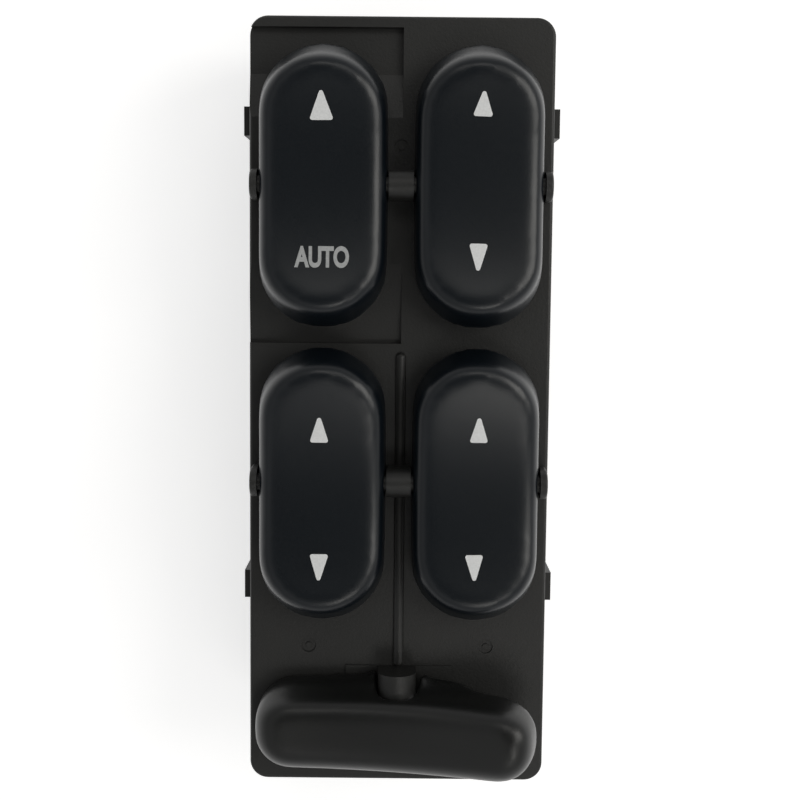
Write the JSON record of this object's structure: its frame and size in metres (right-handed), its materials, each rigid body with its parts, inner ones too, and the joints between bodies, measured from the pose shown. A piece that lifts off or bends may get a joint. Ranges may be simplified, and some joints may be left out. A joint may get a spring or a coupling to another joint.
{
  "type": "power window switch",
  "caption": "Driver's door power window switch with finger rockers and a lock rocker on a plate, over a latched case with a blade connector.",
  "frame": {"origin": "centre of the connector shroud's rim, which is the part's lowest plane", "axes": "+Z out of the plate towards the hand, +Y along the plate towards the front of the vehicle, +X to the right"},
  "size_m": [0.0516, 0.125, 0.0488],
  "materials": {
    "housing_black": "grained",
    "case_black": "fine grain",
    "board_green": "solder mask",
    "tinned_brass": "tin plated",
    "rocker_blue_black": "satin",
    "lock_grey": "satin",
    "carriage_white": "smooth",
    "contact_bronze": "bright",
    "spring_steel": "drawn wire",
    "relay_black": "smooth",
    "chip_black": "fine grain",
    "capacitor_can": "satin"
  },
  "bodies": {
    "housing": {"upper_housing": "housing_black", "lower_housing": "case_black", "circuit_board": "board_green", "terminal_01": "tinned_brass", "terminal_02": "tinned_brass", "terminal_03": "tinned_brass", "terminal_04": "tinned_brass", "terminal_05": "tinned_brass", "terminal_06": "tinned_brass", "terminal_07": "tinned_brass", "terminal_08": "tinned_brass", "terminal_09": "tinned_brass", "terminal_10": "tinned_brass", "terminal_11": "tinned_brass", "terminal_12": "tinned_brass", "terminal_13": "tinned_brass", "terminal_14": "tinned_brass", "front_left_spring": "spring_steel", "front_right_spring": "spring_steel", "rear_left_spring": "spring_steel", "rear_right_spring": "spring_steel", "lock_detent_spring": "spring_steel", "auto_down_relay": "relay_black", "control_chip": "chip_black", "smoothing_capacitor": "capacitor_can"},
    "front_left_rocker_body": {"front_left_rocker": "rocker_blue_black"},
    "front_left_carriage_body": {"front_left_carriage": "carriage_white", "front_left_wiper": "contact_bronze"},
    "front_right_rocker_body": {"front_right_rocker": "rocker_blue_black"},
    "front_right_carriage_body": {"front_right_carriage": "carriage_white", "front_right_wiper": "contact_bronze"},
    "rear_left_rocker_body": {"rear_left_rocker": "rocker_blue_black"},
    "rear_left_carriage_body": {"rear_left_carriage": "carriage_white", "rear_left_wiper": "contact_bronze"},
    "rear_right_rocker_body": {"rear_right_rocker": "rocker_blue_black"},
    "rear_right_carriage_body": {"rear_right_carriage": "carriage_white", "rear_right_wiper": "contact_bronze"},
    "lock_rocker_body": {"lock_rocker": "lock_grey"},
    "lock_carriage_body": {"lock_carriage": "carriage_white", "lock_wiper": "contact_bronze"}
  },
  "joints": [
    {"name": "front_left_hinge", "type": "hinge", "parent": "housing", "child": "front_left_rocker_body", "pos_m": [-0.0123, 0.0357, 0.0382], "axis": [1, 0, 0], "range_deg": [-10, 10], "stiffness_Nm_per_rad": 0.25, "deforming": ["front_left_spring"]},
    {"name": "front_left_slide", "type": "slide", "parent": "housing", "child": "front_left_carriage_body", "axis": [0, 1, 0], "range_m": [-0.00309, 0.00309]},
    {"name": "front_right_hinge", "type": "hinge", "parent": "housing", "child": "front_right_rocker_body", "pos_m": [0.0123, 0.0357, 0.0382], "axis": [1, 0, 0], "range_deg": [-7, 7], "stiffness_Nm_per_rad": 0.25, "deforming": ["front_right_spring"]},
    {"name": "front_right_slide", "type": "slide", "parent": "housing", "child": "front_right_carriage_body", "axis": [0, 1, 0], "range_m": [-0.00217, 0.00217]},
    {"name": "rear_left_hinge", "type": "hinge", "parent": "housing", "child": "rear_left_rocker_body", "pos_m": [-0.0123, -0.0116, 0.0382], "axis": [1, 0, 0], "range_deg": [-7, 7], "stiffness_Nm_per_rad": 0.25, "deforming": ["rear_left_spring"]},
    {"name": "rear_left_slide", "type": "slide", "parent": "housing", "child": "rear_left_carriage_body", "axis": [0, 1, 0], "range_m": [-0.00217, 0.00217]},
    {"name": "rear_right_hinge", "type": "hinge", "parent": "housing", "child": "rear_right_rocker_body", "pos_m": [0.0123, -0.0116, 0.0382], "axis": [1, 0, 0], "range_deg": [-7, 7], "stiffness_Nm_per_rad": 0.25, "deforming": ["rear_right_spring"]},
    {"name": "rear_right_slide", "type": "slide", "parent": "housing", "child": "rear_right_carriage_body", "axis": [0, 1, 0], "range_m": [-0.00217, 0.00217]},
    {"name": "lock_hinge", "type": "hinge", "parent": "housing", "child": "lock_rocker_body", "pos_m": [0, -0.0515, 0.0382], "axis": [0, 1, 0], "range_deg": [0, 19], "deforming": ["lock_detent_spring"]},
    {"name": "lock_slide", "type": "slide", "parent": "housing", "child": "lock_carriage_body", "axis": [1, 0, 0], "range_m": [-0.00584, 0]}
  ],
  "couplings": [
    {"joint": "front_left_slide", "follows": "front_left_hinge", "m_per_rad": 0.017511},
    {"joint": "front_right_slide", "follows": "front_right_hinge", "m_per_rad": 0.017556},
    {"joint": "rear_left_slide", "follows": "rear_left_hinge", "m_per_rad": 0.017556},
    {"joint": "rear_right_slide", "follows": "rear_right_hinge", "m_per_rad": 0.017556},
    {"joint": "lock_slide", "follows": "lock_hinge", "m_per_rad": -0.017519}
  ]
}
